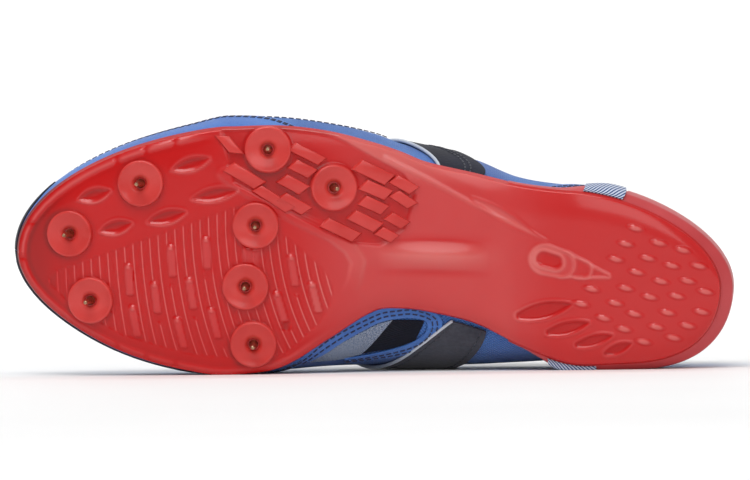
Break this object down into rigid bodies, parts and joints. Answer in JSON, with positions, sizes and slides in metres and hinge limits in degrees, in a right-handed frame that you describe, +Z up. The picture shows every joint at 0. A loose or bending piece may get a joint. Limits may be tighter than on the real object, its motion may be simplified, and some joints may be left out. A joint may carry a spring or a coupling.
{
  "type": "track spike shoe",
  "caption": "Low-cut left running spike with a hollow cloth upper, laces, a glossy red spike plate with lugs and ribs, steel pins and a red heel wedge.",
  "frame": {"origin": "middle of the bounding box in X and Y, on the floor that the shoe lies on", "axes": "-X towards the toe, +X towards the heel, -Y the way the underside faces, +Z up to the outer side of the shoe, which lies on its inner side"},
  "size_m": [0.2752, 0.1016, 0.0983],
  "materials": {
    "red_plate": "clear red, high gloss",
    "red_foam": "satin",
    "blue_cloth": "smooth coated cloth",
    "navy_cloth": "brushed synthetic suede",
    "grey_foam": "cloth over foam",
    "white_cord": "woven lace",
    "steel": "bright turned steel"
  },
  "bodies": {
    "root": {"outsole_plate": "red_plate", "heel_wedge": "red_foam", "upper": "blue_cloth", "insole": "grey_foam", "tongue": "navy_cloth", "eyestay": "navy_cloth", "saddle_outer": "navy_cloth", "saddle_inner": "navy_cloth", "laces": "white_cord", "spike_toe_outer": "steel", "spike_toe_inner": "steel", "spike_front_outer": "steel", "spike_ball_outer": "steel", "spike_rear_outer": "steel", "spike_ball_centre": "steel", "spike_ball_middle": "steel", "spike_ball_inner": "steel"}
  },
  "joints": []
}
